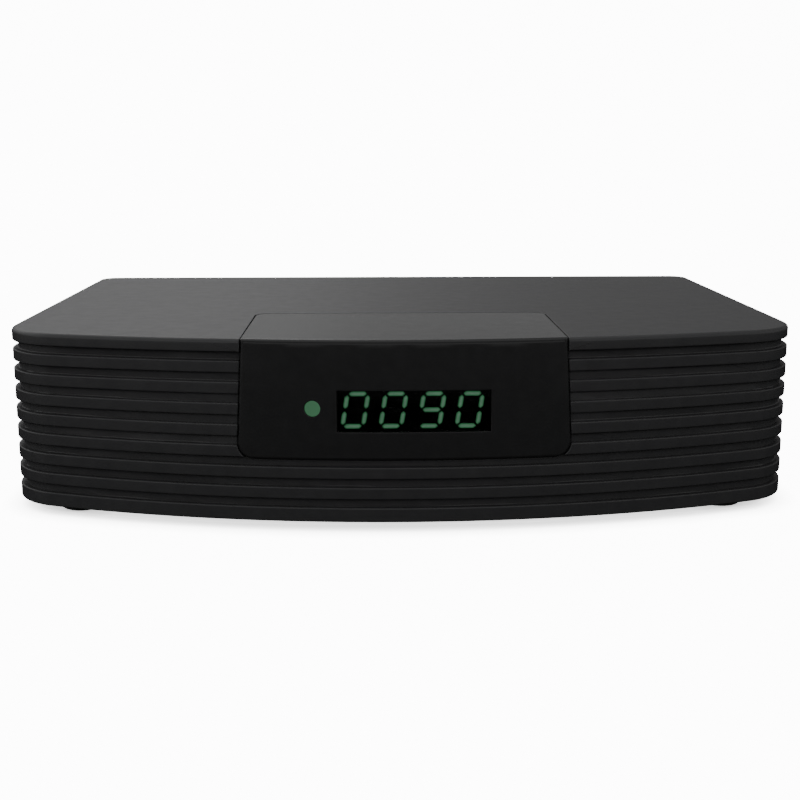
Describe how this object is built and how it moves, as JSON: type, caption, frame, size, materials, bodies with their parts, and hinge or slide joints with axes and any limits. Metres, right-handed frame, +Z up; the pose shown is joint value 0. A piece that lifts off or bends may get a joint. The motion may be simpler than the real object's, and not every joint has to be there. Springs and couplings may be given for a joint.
{
  "type": "digital television receiver",
  "caption": "Low black set-top receiver: ribbed, bowed case with a smooth fascia, a digit display, a status light, sockets and a rocker switch at the back.",
  "frame": {"origin": "centre of the box round the whole receiver, aerial sockets included, on the surface its feet stand on", "axes": "+Z up, the bowed front faces -Y, the sockets face +Y, +X to the right seen from the front"},
  "size_m": [0.22, 0.1652, 0.0512],
  "materials": {
    "case_plastic": "fine matte texture",
    "panel_paint": "matte black paint",
    "fascia_plastic": "smooth satin",
    "window_smoke": "clear smoked",
    "light_green": "diffusing",
    "foot_rubber": "matte",
    "screw_steel": "plated",
    "board_green": "solder mask",
    "display_black": "matte",
    "segment_green": "lit",
    "led_clear": "clear tinted",
    "part_black": "moulded",
    "rocker_black": "gloss",
    "header_cream": "moulded",
    "ribbon_grey": "soft",
    "pad_blue": "soft",
    "sink_dark": "anodised",
    "cap_sleeve": "shrink sleeve",
    "coil_dark": "ferrite",
    "tin": "tin plate",
    "contact_gold": "plated",
    "audio_orange": "moulded"
  },
  "bodies": {
    "case": {"top_cover": "case_plastic", "base_plate": "case_plastic", "rear_panel": "panel_paint", "front_fascia": "fascia_plastic", "display_window": "window_smoke", "status_light_pipe": "light_green", "foot_front_left": "foot_rubber", "foot_front_right": "foot_rubber", "foot_rear_left": "foot_rubber", "foot_rear_right": "foot_rubber", "case_screws": "screw_steel", "board_screws": "screw_steel", "front_board_screws": "screw_steel", "front_board": "board_green", "main_board": "board_green", "led_display": "display_black", "display_segments": "segment_green", "status_led": "led_clear", "infrared_receiver": "part_black", "system_chip": "part_black", "memory_chips": "part_black", "flash_chip": "part_black", "regulator": "part_black", "audio_body": "part_black", "scart_socket": "part_black", "video_tongue": "part_black", "switch_housing": "part_black", "power_jack": "part_black", "front_header": "header_cream", "main_header": "header_cream", "stick_tongue": "header_cream", "aerial_input_core": "header_cream", "ribbon_cable": "ribbon_grey", "thermal_pad": "pad_blue", "heat_sink": "sink_dark", "capacitors": "cap_sleeve", "coils": "coil_dark", "tuner_frame": "tin", "tuner_lid": "tin", "crystal": "tin", "aerial_input": "tin", "aerial_loop": "tin", "video_shell": "tin", "stick_shell": "tin", "power_jack_pin": "tin", "scart_contacts": "contact_gold", "aerial_loop_pin": "contact_gold", "audio_barrel": "audio_orange"},
    "rocker": {"switch_rocker": "rocker_black"}
  },
  "joints": [
    {"name": "power_rocker", "type": "hinge", "parent": "case", "child": "rocker", "pos_m": [0.06592, 0.06755, 0.01815], "axis": [0, 0, 1], "range_deg": [0, 18]}
  ]
}
